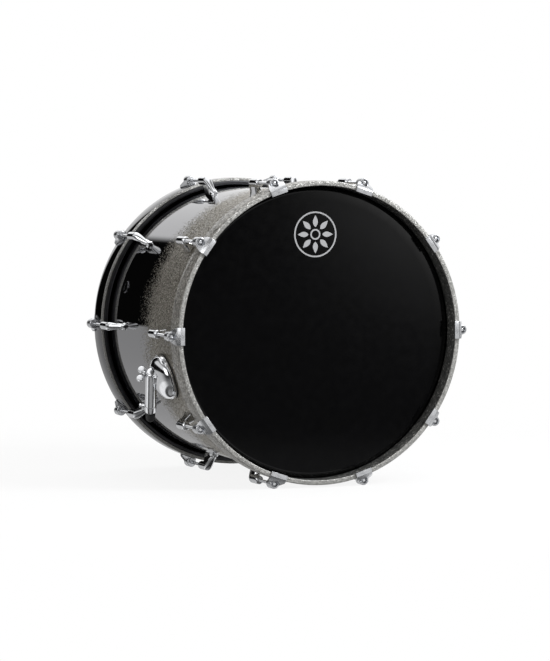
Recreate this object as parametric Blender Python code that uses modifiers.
"""Bass drum lying on its lowest claws: shell, two heads, two hoops, claws, lugs and folding spurs.

World frame: metres, +Z up, the drum's axis along Y at AXIS_HEIGHT, the front (resonant) head
facing -Y and the batter head facing +Y. Angles round the drum are read from 12 o'clock,
positive towards +X.

Station frame of a claw or a lug: X is the distance from the drum's axis, Y runs outward along
the drum from the hoop's outer edge, and Z is tangential.
Spur frame: X runs down the folded leg, Z is the fold axis, pointing away from the shell.
"""

import math

import bmesh
import bpy
from mathutils import Matrix, Vector

# Driving dimensions
SHELL_DEPTH = 0.432
SHELL_RADIUS = 0.2774
SHELL_WALL = 0.008
HOOP_RADIUS = 0.2955
HOOP_WALL = 0.0095
HOOP_WIDTH = 0.043
HOOP_STAND = 0.0323
ROD_CIRCLE = 0.3055
STATIONS = 10
GAP = 0.0003

# Shell, wrap and heads
RING_STEPS = 60
DOME_SIDES = 28
EDGE_INSET = 0.0009
EDGE_ROUND = 0.0012
WRAP_THICKNESS = 0.0006
WRAP_SETBACK = 0.003
FILM = 0.0006
COLLAR_BEND = 0.0024
COLLAR_RADIUS = 0.2852
COLLAR_DROP = 0.0079
SKIRT_DROP = 0.0129
REBATE_RADIUS = 0.2896
REBATE_DEPTH = 0.0045
FLESH_WALL = 0.0015
FLESH_INNER_RADIUS = 0.2820
FLESH_FLOOR_DROP = 0.0154

# Claws and tension rods
LIP_OVERHANG = 0.0025
LIP_THICKNESS = 0.0035
LIP_HALF_WIDTH = 0.017
CLAW_BROW = -0.0032
CLAW_NOSE = 0.0042
CLAW_NOSE_BACK = 0.0016
CLAW_SHOULDER = 0.0115
CLAW_SHOULDER_BACK = 0.0140
CLAW_BACK = 0.0290
CLAW_TAPER_OUT = 0.486
CLAW_TAPER_BACK = 0.24
CUP_RADIUS = 0.0096
CUP_FRONT = 0.0095
CUP_BACK = 0.0300
CUP_BORE = 0.0070
CUP_FLOOR = 0.0185
KEY_SIDE = 0.0056
ROD_RADIUS = 0.003
ROD_END = 0.108
ROUND_SIDES = 12
SMALL_SIDES = 8

# Lugs
LUG_NOSE = 0.086
LUG_TAIL = 0.146
LUG_BARREL_RADIUS = 0.0085
LUG_BARREL_END = 0.121
LUG_BASE_HALF_WIDTH = 0.0082
LUG_TOP_HALF_WIDTH = 0.0060
LUG_BORE_RADIUS = 0.0037
LUG_BORE_END = 0.112
LUG_SCREWS = (0.114, 0.136)
LUG_SIDES = 10
SCREW_RADIUS = 0.0025
SCREW_HOLE = 0.0034
SCREW_SIDES = 6
SCREW_HEAD_RADIUS = 0.0055
SCREW_HEAD = 0.0030
HEAD_SEAT = 0.0007

# Air vent
VENT_ANGLE = -74.0
VENT_Y = 0.130
VENT_BORE = 0.0065
VENT_TUBE = 0.0085
VENT_FLANGE = 0.0130
VENT_FLANGE_HEIGHT = 0.0018
VENT_FLOAT = 0.0004

# Spurs
DOME_ANGLE = -108.1
DOME_Y = -0.099
DOME_RADIUS = 0.0440
DOME_HEIGHT = 0.0290
DOME_STEPS = (62, 42, 26, 12, 0)
DOME_SCREW_OFFSET = 0.030
GASKET_RADIUS = 0.0455
GASKET_HEIGHT = 0.0060
SPUR_ANGLE = -106.2
SPUR_CIRCLE = 0.3025
SPUR_LEAN = 48.0
SPUR_TUCK = 4.0
SPUR_USE = (-0.28, -0.38, -0.88)
SPUR_SWING = 80.0
SWEEP_CLEARANCE = 0.0008
SWEEP_REACH = 0.080
BOSS_RADIUS = 0.0105
DISC_RADIUS = 0.0165
DISC_FACE = -0.0060
DISC_THICKNESS = 0.0062
TUBE_OFFSET = 0.0060
TUBE_RADIUS = 0.0115
TUBE_TOP = -0.0115
TUBE_END = 0.120
TUBE_BORE = 0.0065
TUBE_BORE_START = 0.0115
COLLAR_START = 0.100
COLLAR_OUTER = 0.0125
KEY_BOSS = (0.0045, 0.0090, 0.0170)
KEY_LENGTH = 0.0060
LEG_RADIUS = 0.0060
LEG_START = 0.013
LEG_END = 0.142
FOOT_RADIUS = 0.0095
FOOT_START = 0.126
FOOT_END = 0.156
PIVOT_RADIUS = 0.0030
PIVOT_BORE = 0.0038
PIVOT_DEPTH = -0.0230
KNOB_BASE = 0.0178
KNOB_COLLAR_RADIUS = 0.0075
KNOB_COLLAR_TOP = 0.0232
WING_RADIUS = 0.0080
WING_THICKNESS = 0.0044
WING_OFFSET = 0.0105
WING_RISE = 0.0030

HALF_LENGTH = SHELL_DEPTH / 2 + HOOP_STAND
SHELL_INNER = SHELL_RADIUS - SHELL_WALL
WRAP_INNER = SHELL_RADIUS + GAP
WRAP_RADIUS = WRAP_INNER + WRAP_THICKNESS
SEAT_RADIUS = WRAP_RADIUS + GAP
HEAD_FACE = SHELL_DEPTH / 2 + GAP + FILM
LOWEST_ANGLE = math.radians(180.0 / STATIONS)
LOWEST_CORNER = math.radians(360.0 / ROUND_SIDES) - LOWEST_ANGLE
AXIS_HEIGHT = ROD_CIRCLE * math.cos(LOWEST_ANGLE) + CUP_RADIUS * math.cos(LOWEST_CORNER)

CHROME = ("chrome", (0.80, 0.81, 0.83), 1.0, 0.08)


def clear_scene():
    for obj in list(bpy.data.objects):
        bpy.data.objects.remove(obj)


def new_collection(name):
    collection = bpy.data.collections.new(name)
    bpy.context.scene.collection.children.link(collection)
    return collection


def material(name, colour, metallic, roughness):
    made = bpy.data.materials.new(name)
    made.use_nodes = True
    shader = made.node_tree.nodes["Principled BSDF"]
    shader.inputs["Base Color"].default_value = (*colour, 1.0)
    shader.inputs["Metallic"].default_value = metallic
    shader.inputs["Roughness"].default_value = roughness
    return made


def add_part(name, mesh, looks):
    """Links a part with a material of its own; looks is (name, colour, metallic, roughness)."""
    obj = bpy.data.objects.new(name, mesh)
    PARTS.objects.link(obj)
    if not mesh.materials:
        mesh.materials.append(material(f"{name}_{looks[0]}", *looks[1:]))
    mesh.shade_smooth()
    mesh.set_sharp_from_angle(angle=math.radians(35))
    return obj


def helper(name, mesh):
    """An object that shapes others and is no part itself."""
    obj = bpy.data.objects.new(name, mesh)
    CUTTERS.objects.link(obj)
    obj.hide_render = True
    obj.display_type = "WIRE"
    return obj


def baked(obj):
    """The object's evaluated mesh, as a mesh of its own; the object is removed."""
    bpy.context.view_layer.update()
    graph = bpy.context.evaluated_depsgraph_get()
    mesh = bpy.data.meshes.new_from_object(obj.evaluated_get(graph))
    bpy.data.objects.remove(obj)
    return mesh


def boolean(obj, other, operation):
    modifier = obj.modifiers.new(operation.lower(), "BOOLEAN")
    modifier.operation = operation
    modifier.solver = "EXACT"
    modifier.object = other


def combined(base, added, cut=()):
    """base joined with each mesh in added, then cut by each mesh in cut."""
    target = helper("base", base)
    others = [helper("added", mesh) for mesh in added]
    cutters = [helper("cut", mesh) for mesh in cut]
    for other in others:
        boolean(target, other, "UNION")
    for cutter in cutters:
        boolean(target, cutter, "DIFFERENCE")
    result = baked(target)
    for used in others + cutters:
        bpy.data.objects.remove(used)
    return result


def turned(profile, steps, closed=True):
    """A profile of (radius, height) points, outer side first and running down, turned about Z."""
    mesh = bpy.data.meshes.new("profile")
    points = [(radius, 0.0, height) for radius, height in profile]
    edges = [(i, i + 1) for i in range(len(points) - 1)]
    if closed:
        edges.append((len(points) - 1, 0))
    mesh.from_pydata(points, edges, [])
    obj = helper("turned", mesh)
    screw = obj.modifiers.new("screw", "SCREW")
    screw.steps = steps
    screw.render_steps = steps
    screw.use_merge_vertices = True
    screw.merge_threshold = 0.00005
    return baked(obj)


def cylinder(radius, start, end, sides, axis, through=(0.0, 0.0, 0.0)):
    """A closed cylinder along a direction, from start to end measured from the point through."""
    mesh = bpy.data.meshes.new("cylinder")
    shape = bmesh.new()
    bmesh.ops.create_cone(
        shape, cap_ends=True, segments=sides, radius1=radius, radius2=radius, depth=end - start
    )
    shape.to_mesh(mesh)
    shape.free()
    turn = Vector(axis).to_track_quat("Z", "Y").to_matrix().to_4x4()
    middle = Vector(through) + Vector(axis).normalized() * (start + end) / 2
    mesh.transform(Matrix.Translation(middle) @ turn)
    return mesh


def box(size, middle):
    mesh = bpy.data.meshes.new("box")
    shape = bmesh.new()
    bmesh.ops.create_cube(shape, size=1.0)
    shape.to_mesh(mesh)
    shape.free()
    mesh.transform(Matrix.Translation(middle) @ Matrix.Diagonal((*size, 1.0)))
    return mesh


def slab(outline, half_width, half_width_at):
    """A flat XY outline made half_width thick each way along Z, then narrowed point by point."""
    curve = bpy.data.curves.new("outline", "CURVE")
    curve.dimensions = "2D"
    curve.fill_mode = "BOTH"
    curve.extrude = half_width
    spline = curve.splines.new("POLY")
    spline.points.add(len(outline) - 1)
    for point, (x, y) in zip(spline.points, outline):
        point.co = (x, y, 0.0, 1.0)
    spline.use_cyclic_u = True
    obj = bpy.data.objects.new("outline", curve)
    CUTTERS.objects.link(obj)
    mesh = baked(obj)
    shape = bmesh.new()
    shape.from_mesh(mesh)
    bmesh.ops.remove_doubles(shape, verts=shape.verts, dist=0.00002)
    for vert in shape.verts:
        vert.co.z *= half_width_at(vert.co.x, vert.co.y) / half_width
    bmesh.ops.recalc_face_normals(shape, faces=shape.faces)
    shape.to_mesh(mesh)
    shape.free()
    return mesh


def mirrored(mesh):
    """The mesh reflected in X, with its faces still pointing out."""
    copy = mesh.copy()
    copy.materials.clear()
    copy.transform(Matrix.Scale(-1, 4, (1, 0, 0)))
    copy.flip_normals()
    return copy


def radial(degrees):
    angle = math.radians(degrees)
    return Vector((math.sin(angle), 0.0, math.cos(angle)))


def on_axis(obj, rear=False):
    """Puts a turned part on the drum's axis; a rear part is the front one turned round."""
    obj.parent = DRUM_AXIS
    obj.rotation_euler = (math.pi if rear else 0.0, 0.0, 0.0)


def station_matrix(degrees, rear):
    """The station frame at this angle on the rear or the front hoop."""
    turn = Matrix.Rotation(math.radians(degrees - 90), 4, "Y")
    if not rear:
        turn = turn @ Matrix.Rotation(math.pi, 4, "X")
    edge = HALF_LENGTH if rear else -HALF_LENGTH
    return Matrix.Translation((0, edge, AXIS_HEIGHT)) @ turn


def stations():
    """(name, angle, rear) of every claw and lug, clockwise as seen from the front."""
    step = 360 / STATIONS
    for rear in (False, True):
        for number in range(STATIONS):
            side = "rear" if rear else "front"
            yield f"{side}_{{}}_{number + 1:02d}", step * (number + 0.5), rear


def shell_mesh():
    half = SHELL_DEPTH / 2
    crest = SHELL_RADIUS - EDGE_INSET
    slope_end = half - (crest - SHELL_INNER)
    return turned(
        [
            (crest, half),
            (SHELL_RADIUS, half - EDGE_ROUND),
            (SHELL_RADIUS, -half + EDGE_ROUND),
            (crest, -half),
            (SHELL_INNER, -slope_end),
            (SHELL_INNER, slope_end),
        ],
        RING_STEPS,
    )


def wrap_mesh():
    half = SHELL_DEPTH / 2 - WRAP_SETBACK
    profile = [(WRAP_RADIUS, half), (WRAP_RADIUS, -half), (WRAP_INNER, -half), (WRAP_INNER, half)]
    return turned(profile, RING_STEPS)


def hoop_mesh():
    inner = HOOP_RADIUS - HOOP_WALL
    back = HALF_LENGTH - HOOP_WIDTH
    ledge = back + REBATE_DEPTH
    return turned(
        [
            (HOOP_RADIUS, HALF_LENGTH),
            (HOOP_RADIUS, back),
            (REBATE_RADIUS, back),
            (REBATE_RADIUS, ledge),
            (inner, ledge),
            (inner, HALF_LENGTH),
        ],
        RING_STEPS,
    )


def head_mesh():
    """The film: flat over the bearing edge, then a sloping collar and a skirt into the flesh hoop."""
    crest = SHELL_RADIUS - EDGE_INSET + GAP
    bend = crest + COLLAR_BEND
    bend_drop = COLLAR_BEND * 0.75
    skirt = COLLAR_RADIUS - FILM
    under = HEAD_FACE - FILM
    return turned(
        [
            (0.0, HEAD_FACE),
            (crest + FILM / 3, HEAD_FACE),
            (bend + FILM * 0.6, HEAD_FACE - bend_drop),
            (COLLAR_RADIUS, HEAD_FACE - COLLAR_DROP),
            (COLLAR_RADIUS, HEAD_FACE - SKIRT_DROP),
            (skirt, HEAD_FACE - SKIRT_DROP),
            (skirt, HEAD_FACE - COLLAR_DROP - FILM / 3),
            (bend, under - bend_drop),
            (crest, under),
            (0.0, under),
        ],
        RING_STEPS,
        closed=False,
    )


def flesh_hoop_mesh():
    """A U channel, open towards its head, pressed down by the hoop's rebate."""
    outer = REBATE_RADIUS - GAP
    top = HALF_LENGTH - HOOP_WIDTH + REBATE_DEPTH - GAP
    floor = HEAD_FACE - FLESH_FLOOR_DROP
    inner_top = top - FLESH_WALL
    return turned(
        [
            (outer, top),
            (outer, floor),
            (FLESH_INNER_RADIUS, floor),
            (FLESH_INNER_RADIUS, inner_top),
            (FLESH_INNER_RADIUS + FLESH_WALL, inner_top),
            (FLESH_INNER_RADIUS + FLESH_WALL, floor + FLESH_WALL),
            (outer - FLESH_WALL, floor + FLESH_WALL),
            (outer - FLESH_WALL, top),
        ],
        RING_STEPS,
    )


def claw_width(x, y):
    """Half the claw's width: full at the lip, less outwards and less towards the back."""
    outwards = max(0.0, x - HOOP_RADIUS - CLAW_NOSE)
    backwards = max(0.0, -y - CLAW_NOSE_BACK)
    return LIP_HALF_WIDTH - CLAW_TAPER_OUT * outwards - CLAW_TAPER_BACK * backwards


def claw_mesh():
    """The claw with its tension rod: lip over the hoop, body, cup for the key head, and the rod."""
    lip = HOOP_RADIUS - HOOP_WALL - LIP_OVERHANG
    seat = HOOP_RADIUS + GAP
    shoulder = HOOP_RADIUS + CLAW_SHOULDER
    front = GAP + LIP_THICKNESS
    outline = [
        (lip, GAP),
        (lip, front),
        (HOOP_RADIUS + CLAW_BROW, front),
        (HOOP_RADIUS + CLAW_NOSE, -CLAW_NOSE_BACK),
        (shoulder, -CLAW_SHOULDER_BACK),
        (shoulder, -CLAW_BACK),
        (seat, -CLAW_BACK),
        (seat, GAP),
    ]
    line = ((0, 1, 0), (ROD_CIRCLE, 0, 0))
    body = slab(outline, LIP_HALF_WIDTH, claw_width)
    cup = cylinder(CUP_RADIUS, -CUP_BACK, -CUP_FRONT, ROUND_SIDES, *line)
    bore = cylinder(CUP_BORE, -CUP_FLOOR, CUP_FRONT, ROUND_SIDES, *line)
    rod = cylinder(ROD_RADIUS, -ROD_END, -CUP_FLOOR - GAP, SMALL_SIDES, *line)
    key_top = -CUP_FRONT
    key_length = CUP_FLOOR + GAP + key_top
    key = box((KEY_SIDE, key_length, KEY_SIDE), (ROD_CIRCLE, key_top - key_length / 2, 0))
    hollowed = combined(body, [cup], [bore])
    return combined(hollowed, [rod, key])


def inside_screw(axis, seat_point, top):
    """A screw from a fitting's foot through the wall, with its flanged head inside the shell."""
    head_top = -(WRAP_RADIUS + GAP - SHELL_INNER) - HEAD_SEAT
    shank = cylinder(SCREW_RADIUS, head_top - GAP, top, SCREW_SIDES, axis, seat_point)
    head = cylinder(SCREW_HEAD_RADIUS, head_top - SCREW_HEAD, head_top, SCREW_SIDES, axis, seat_point)
    return combined(head, [shank])


def lug_width(x, _y):
    """Half the lug's width, tapering from its foot on the shell to the barrel."""
    share = (x - SEAT_RADIUS) / (ROD_CIRCLE - SEAT_RADIUS)
    return LUG_BASE_HALF_WIDTH + share * (LUG_TOP_HALF_WIDTH - LUG_BASE_HALF_WIDTH)


def lug_mesh():
    """A bullet lug: barrel on the rod's line, a foot on the shell, and two screws into it."""
    nose = -LUG_NOSE - LUG_BARREL_RADIUS / 2
    tail_top = -LUG_BARREL_END
    outline = [
        (SEAT_RADIUS, -LUG_SCREWS[0] + LUG_BARREL_RADIUS),
        (SEAT_RADIUS, -LUG_TAIL),
        (SEAT_RADIUS + LUG_BARREL_RADIUS, -LUG_TAIL + LUG_BARREL_RADIUS / 4),
        (ROD_CIRCLE - LUG_BARREL_RADIUS, tail_top - 1.6 * LUG_BARREL_RADIUS),
        (ROD_CIRCLE, tail_top - LUG_BARREL_RADIUS / 2),
        (ROD_CIRCLE, nose),
        (ROD_CIRCLE - LUG_BARREL_RADIUS / 2, nose),
    ]
    body = slab(outline, LUG_BASE_HALF_WIDTH, lug_width)
    line = Matrix.Translation((ROD_CIRCLE, 0, 0)) @ Matrix.Rotation(math.radians(-90), 4, "X")
    barrel = turned(
        [
            (0.0, -LUG_NOSE),
            (LUG_BARREL_RADIUS * 0.75, -LUG_NOSE),
            (LUG_BARREL_RADIUS, -LUG_NOSE - LUG_BARREL_RADIUS / 2),
            (LUG_BARREL_RADIUS, tail_top),
            (LUG_BARREL_RADIUS * 0.7, tail_top - LUG_BARREL_RADIUS * 0.7),
            (0.0, tail_top - LUG_BARREL_RADIUS),
        ],
        LUG_SIDES,
        closed=False,
    )
    barrel.transform(line)
    bore_line = ((0, 1, 0), (ROD_CIRCLE, 0, 0))
    bore = cylinder(LUG_BORE_RADIUS, -LUG_BORE_END, -LUG_NOSE + ROD_RADIUS, SMALL_SIDES, *bore_line)
    screws = [
        inside_screw((1, 0, 0), (SEAT_RADIUS, -place, 0), SCREW_RADIUS) for place in LUG_SCREWS
    ]
    return combined(body, [barrel] + screws, [bore])


def vent_mesh():
    """A grommet whose flange floats just off the wrap; its tube runs through the wall."""
    inside = SHELL_INNER - VENT_FLOAT - VENT_FLANGE_HEIGHT
    face = WRAP_RADIUS + VENT_FLOAT
    top = face + VENT_FLANGE_HEIGHT
    rim = VENT_FLANGE - VENT_FLANGE_HEIGHT
    return turned(
        [
            (VENT_BORE, top),
            (rim, top),
            (VENT_FLANGE, face),
            (VENT_TUBE, face),
            (VENT_TUBE, inside + VENT_FLANGE_HEIGHT / 2),
            (VENT_BORE, inside),
        ],
        ROUND_SIDES + 4,
    )


def spur_axis():
    """The fold axis: square to the folded leg and to the leg in use."""
    return spur_folded().cross(Vector(SPUR_USE)).normalized()


def spur_folded():
    """The folded leg's direction: round the shell and down, leaning to the rear and tucked in."""
    lean = math.radians(SPUR_LEAN)
    tuck = math.radians(SPUR_TUCK)
    out = radial(SPUR_ANGLE)
    down = Vector((-out.z, 0.0, out.x))
    along = down * math.cos(lean) + Vector((0, 1, 0)) * math.sin(lean)
    return along * math.cos(tuck) - out * math.sin(tuck)


def spur_matrix():
    """The left spur's frame in the world."""
    along = spur_folded()
    axis = spur_axis()
    turn = Matrix((along, axis.cross(along), axis)).transposed().to_4x4()
    pivot = radial(SPUR_ANGLE) * SPUR_CIRCLE + Vector((0, DOME_Y, AXIS_HEIGHT))
    return Matrix.Translation(pivot) @ turn


def dome_matrix():
    """The bracket dome's frame: X away from the shell, Y along the drum, Z round it."""
    out = radial(DOME_ANGLE)
    along = Vector((0, 1, 0))
    turn = Matrix((out, along, out.cross(along))).transposed().to_4x4()
    seat = out * SEAT_RADIUS + Vector((0, DOME_Y, AXIS_HEIGHT))
    return Matrix.Translation(seat) @ turn


def dome_mesh():
    """An oval dome on a rim, with a root that reaches into the shell, in the world frame."""
    rise = DOME_HEIGHT - GASKET_HEIGHT
    slopes = [math.radians(step) for step in DOME_STEPS]
    profile = [(DOME_RADIUS * math.cos(a), GASKET_HEIGHT + rise * math.sin(a)) for a in slopes]
    root = -DOME_RADIUS / 4
    rim = [(GASKET_RADIUS, GASKET_HEIGHT), (GASKET_RADIUS, root), (0.0, root)]
    dome = turned([(0.0, DOME_HEIGHT)] + profile + rim, DOME_SIDES, closed=False)
    dome.transform(dome_matrix() @ Matrix.Rotation(math.radians(90), 4, "Y"))
    return dome


def leg_sweep_mesh():
    """The room that the leg needs above the fold disc as it swings, in the spur frame."""
    half = TUBE_RADIUS + SWEEP_CLEARANCE
    round_pivot = DISC_RADIUS + SWEEP_CLEARANCE
    turns = [2 * math.pi * i / ROUND_SIDES for i in range(ROUND_SIDES)]
    places = [(round_pivot * math.cos(a), round_pivot * math.sin(a)) for a in turns]
    for swing in (0.0, math.radians(SPUR_SWING)):
        along = Vector((math.cos(swing), math.sin(swing)))
        aside = Vector((-along.y, along.x))
        places += [tuple(along * SWEEP_REACH + aside * half * way) for way in (-1, 1)]
    shape = bmesh.new()
    for x, y in places:
        for height in (DISC_FACE - GAP, SWEEP_REACH):
            shape.verts.new((x, y, height))
    hull = bmesh.ops.convex_hull(shape, input=shape.verts)
    bmesh.ops.delete(shape, geom=hull["geom_interior"], context="VERTS")
    bmesh.ops.recalc_face_normals(shape, faces=shape.faces)
    mesh = bpy.data.meshes.new("sweep")
    shape.to_mesh(mesh)
    shape.free()
    return mesh


def inside_drum_mesh():
    """Everything within the seat radius, in the world frame."""
    reach = SHELL_DEPTH / 2
    profile = [(0.0, reach), (SEAT_RADIUS, reach), (SEAT_RADIUS, -reach), (0.0, -reach)]
    mesh = turned(profile, RING_STEPS, closed=False)
    mesh.transform(Matrix.Translation((0, 0, AXIS_HEIGHT)) @ Matrix.Rotation(math.pi / 2, 4, "X"))
    return mesh


def bracket_mesh():
    """Dome with its rim, fold disc, boss and two screws, in the spur frame."""
    to_spur = spur_matrix().inverted()
    dome = dome_mesh()
    below = inside_drum_mesh()
    screws = [
        inside_screw((1, 0, 0), (0, place, 0), GASKET_HEIGHT)
        for place in (-DOME_SCREW_OFFSET, DOME_SCREW_OFFSET)
    ]
    for mesh in (dome, below):
        mesh.transform(to_spur)
    for mesh in screws:
        mesh.transform(to_spur @ dome_matrix())
    disc_back = DISC_FACE - DISC_THICKNESS
    boss = cylinder(BOSS_RADIUS, PIVOT_DEPTH - BOSS_RADIUS, disc_back + GAP, ROUND_SIDES, (0, 0, 1))
    disc = cylinder(DISC_RADIUS, disc_back, DISC_FACE - GAP, ROUND_SIDES + 4, (0, 0, 1))
    bore = cylinder(PIVOT_BORE, PIVOT_DEPTH - GAP, 0.0, SMALL_SIDES, (0, 0, 1))
    dome = combined(dome, [], [leg_sweep_mesh()])
    solid = combined(dome, [boss, disc], [below, bore])
    return combined(solid, screws)


def leg_tube_mesh():
    """The outer leg: fold disc, a tube open at its lower end, and a collar with a key screw."""
    line = ((1, 0, 0), (0, 0, TUBE_OFFSET))
    disc = cylinder(DISC_RADIUS, DISC_FACE, 0.0, ROUND_SIDES + 4, (0, 0, 1))
    tube = cylinder(TUBE_RADIUS, TUBE_TOP, TUBE_END, ROUND_SIDES, *line)
    collar = cylinder(COLLAR_OUTER, COLLAR_START, TUBE_END - GAP, ROUND_SIDES, *line)
    bore = cylinder(TUBE_BORE, TUBE_BORE_START, TUBE_END + 0.01, ROUND_SIDES, *line)
    pivot_bore = cylinder(PIVOT_BORE, -0.02, 0.03, SMALL_SIDES, (0, 0, 1))
    key_place = ((COLLAR_START + TUBE_END) / 2, 0, TUBE_OFFSET)
    key_boss = cylinder(*KEY_BOSS, SMALL_SIDES, (0, 0, 1), key_place)
    key = box((KEY_SIDE, KEY_SIDE, KEY_LENGTH), (key_place[0], 0, TUBE_OFFSET + KEY_BOSS[2] + GAP))
    return combined(tube, [disc, collar, key_boss, key], [bore, pivot_bore])


def inner_leg_mesh():
    line = ((1, 0, 0), (0, 0, TUBE_OFFSET))
    return cylinder(LEG_RADIUS, LEG_START, LEG_END, ROUND_SIDES, *line)


def foot_mesh():
    """A rubber tip with a socket for the inner leg and a domed end."""
    socket = LEG_RADIUS + GAP
    neck = LEG_RADIUS * 1.35
    foot = turned(
        [
            (0.0, FOOT_END),
            (FOOT_RADIUS * 0.7, FOOT_END - 0.0015),
            (FOOT_RADIUS, FOOT_END - 0.006),
            (FOOT_RADIUS, FOOT_START + 0.006),
            (neck, FOOT_START),
            (socket, FOOT_START),
            (socket, LEG_END + GAP),
            (0.0, LEG_END + GAP),
        ],
        ROUND_SIDES,
        closed=False,
    )
    foot.transform(Matrix.Translation((0, 0, TUBE_OFFSET)) @ Matrix.Rotation(math.radians(90), 4, "Y"))
    return foot


def knob_mesh():
    """The wing screw that locks the fold: shank, hub and two round wings."""
    shank = cylinder(PIVOT_RADIUS, PIVOT_DEPTH, KNOB_BASE + GAP, SMALL_SIDES, (0, 0, 1))
    hub = cylinder(KNOB_COLLAR_RADIUS, KNOB_BASE, KNOB_COLLAR_TOP, ROUND_SIDES, (0, 0, 1))
    half = WING_THICKNESS / 2
    wings = [
        cylinder(WING_RADIUS, -half, half, ROUND_SIDES, (1, 0, 0), (0, place, KNOB_COLLAR_TOP + WING_RISE))
        for place in (-WING_OFFSET, WING_OFFSET)
    ]
    return combined(hub, [shank] + wings)


def hole_cutters():
    """Every hole through the wrap and the wall: lug screws, bracket screws and the vent."""
    inner = SHELL_INNER - 0.01
    outer = WRAP_RADIUS + 0.01
    meshes = []
    for _name, degrees, rear in stations():
        for place in LUG_SCREWS:
            hole = cylinder(SCREW_HOLE, inner, outer, SCREW_SIDES, (1, 0, 0), (0, -place, 0))
            hole.transform(station_matrix(degrees, rear))
            meshes.append(hole)
    for side in (1, -1):
        for place in (-DOME_SCREW_OFFSET, DOME_SCREW_OFFSET):
            seat = (-SEAT_RADIUS, place, 0)
            hole = cylinder(SCREW_HOLE, inner, outer, SCREW_SIDES, (1, 0, 0), seat)
            hole.transform(dome_matrix())
            meshes.append(hole if side == 1 else mirrored(hole))
    vent_place = (0, VENT_Y, AXIS_HEIGHT)
    vent_hole = VENT_TUBE + GAP
    meshes.append(
        cylinder(vent_hole, inner, outer, ROUND_SIDES + 4, radial(VENT_ANGLE), vent_place)
    )
    joined = bmesh.new()
    for mesh in meshes:
        joined.from_mesh(mesh)
    cutter = bpy.data.meshes.new("wall_holes")
    joined.to_mesh(cutter)
    joined.free()
    return helper("wall_holes", cutter)


def make_shell():
    holes = hole_cutters()
    shell = add_part("shell", shell_mesh(), ("maple", (0.55, 0.36, 0.20), 0.0, 0.55))
    wrap = add_part("shell_wrap", wrap_mesh(), ("mirror", (0.34, 0.34, 0.35), 1.0, 0.10))
    for obj in (shell, wrap):
        on_axis(obj)
        boolean(obj, holes, "DIFFERENCE")


def make_rings():
    """Hoops, films and flesh hoops, the rear of each pair being the front one turned round."""
    sparkle = ("sparkle", (0.50, 0.49, 0.47), 0.6, 0.35)
    black = ("film", (0.012, 0.012, 0.014), 0.0, 0.12)
    channel = ("aluminium", (0.60, 0.60, 0.62), 1.0, 0.35)
    for rear, side in ((False, "front"), (True, "rear")):
        on_axis(add_part(f"{side}_hoop", hoop_mesh(), sparkle), rear)
        on_axis(add_part(f"{side}_head", head_mesh(), black), rear)
        on_axis(add_part(f"{side}_flesh_hoop", flesh_hoop_mesh(), channel), rear)


def make_stations():
    """Ten claws with their rods and ten lugs on each side of the drum."""
    claw = claw_mesh()
    lug = lug_mesh()
    for name, degrees, rear in stations():
        for kind, mesh in (("claw", claw), ("lug", lug)):
            obj = add_part(name.format(kind), mesh.copy(), CHROME)
            obj.matrix_world = station_matrix(degrees, rear)


def make_vent():
    vent = add_part("vent_grommet", vent_mesh(), CHROME)
    vent.location = (0, VENT_Y, AXIS_HEIGHT)
    vent.rotation_euler = (0, math.radians(VENT_ANGLE), 0)


def make_spurs():
    rubber = ("rubber", (0.02, 0.02, 0.02), 0.0, 0.7)
    pieces = (
        ("bracket", bracket_mesh(), CHROME),
        ("leg_tube", leg_tube_mesh(), CHROME),
        ("inner_leg", inner_leg_mesh(), CHROME),
        ("foot", foot_mesh(), rubber),
        ("wing_screw", knob_mesh(), CHROME),
    )
    flip = Matrix.Scale(-1, 4, (1, 0, 0))
    for side, frame in (("left", spur_matrix()), ("right", flip @ spur_matrix() @ flip)):
        for kind, mesh, looks in pieces:
            shape = mesh.copy() if side == "left" else mirrored(mesh)
            obj = add_part(f"{side}_spur_{kind}", shape, looks)
            obj.matrix_world = frame


clear_scene()
PARTS = new_collection("bass_drum")
CUTTERS = new_collection("cutters")
DRUM_AXIS = bpy.data.objects.new("drum_axis", None)
DRUM_AXIS.location = (0, 0, AXIS_HEIGHT)
DRUM_AXIS.rotation_euler = (math.pi / 2, 0, 0)
PARTS.objects.link(DRUM_AXIS)
make_shell()
make_rings()
make_stations()
make_vent()
make_spurs()
